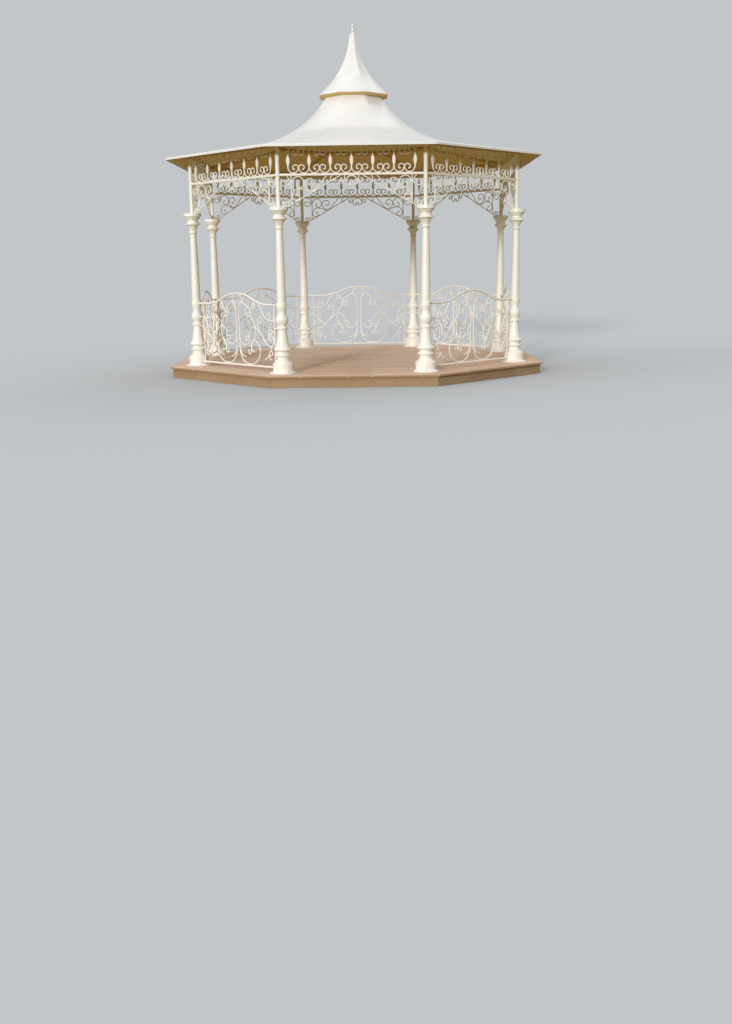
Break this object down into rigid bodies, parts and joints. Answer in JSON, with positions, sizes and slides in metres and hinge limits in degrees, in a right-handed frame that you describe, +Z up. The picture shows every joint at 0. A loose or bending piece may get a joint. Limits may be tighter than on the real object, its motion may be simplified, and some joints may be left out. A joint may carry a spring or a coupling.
{
  "type": "gazebo",
  "caption": "Open octagonal garden gazebo: turned columns on a low stone plinth, scrollwork frieze, brackets and railings, and a hollow-curved roof with a spire.",
  "frame": {"origin": "on the ground in the middle of the plinth, under the spire", "axes": "+Z up; the open bay, without a railing, faces -Y"},
  "size_m": [5.0074, 5.0074, 4.6267],
  "materials": {
    "ivory_paint": "satin ivory paint on cast and bent metal",
    "roof_white_paint": "satin off-white paint on sheet metal",
    "soffit_timber": "brown-stained softwood, left matt",
    "plinth_stone": "rough sandstone",
    "paving_sandstone": "riven sandstone flags"
  },
  "bodies": {
    "root": {"brackets_back_left": "ivory_paint", "brackets_back_right": "ivory_paint", "brackets_front_left": "ivory_paint", "brackets_front_right": "ivory_paint", "brackets_left_back": "ivory_paint", "brackets_left_front": "ivory_paint", "brackets_right_back": "ivory_paint", "brackets_right_front": "ivory_paint", "column_back_left": "ivory_paint", "column_back_right": "ivory_paint", "column_front_left": "ivory_paint", "column_front_right": "ivory_paint", "column_left_back": "ivory_paint", "column_left_front": "ivory_paint", "column_right_back": "ivory_paint", "column_right_front": "ivory_paint", "eaves_beam": "soffit_timber", "finial": "ivory_paint", "frieze_back": "ivory_paint", "frieze_back_left": "ivory_paint", "frieze_back_right": "ivory_paint", "frieze_front": "ivory_paint", "frieze_front_left": "ivory_paint", "frieze_front_right": "ivory_paint", "frieze_left": "ivory_paint", "frieze_right": "ivory_paint", "plinth_base": "plinth_stone", "plinth_paving": "paving_sandstone", "railing_back": "ivory_paint", "railing_back_left": "ivory_paint", "railing_back_right": "ivory_paint", "railing_front_left": "ivory_paint", "railing_front_right": "ivory_paint", "railing_left": "ivory_paint", "railing_right": "ivory_paint", "roof_frame": "soffit_timber", "roof_panel_back": "roof_white_paint", "roof_panel_back_left": "roof_white_paint", "roof_panel_back_right": "roof_white_paint", "roof_panel_front": "roof_white_paint", "roof_panel_front_left": "roof_white_paint", "roof_panel_front_right": "roof_white_paint", "roof_panel_left": "roof_white_paint", "roof_panel_right": "roof_white_paint", "spire": "roof_white_paint"}
  },
  "joints": []
}
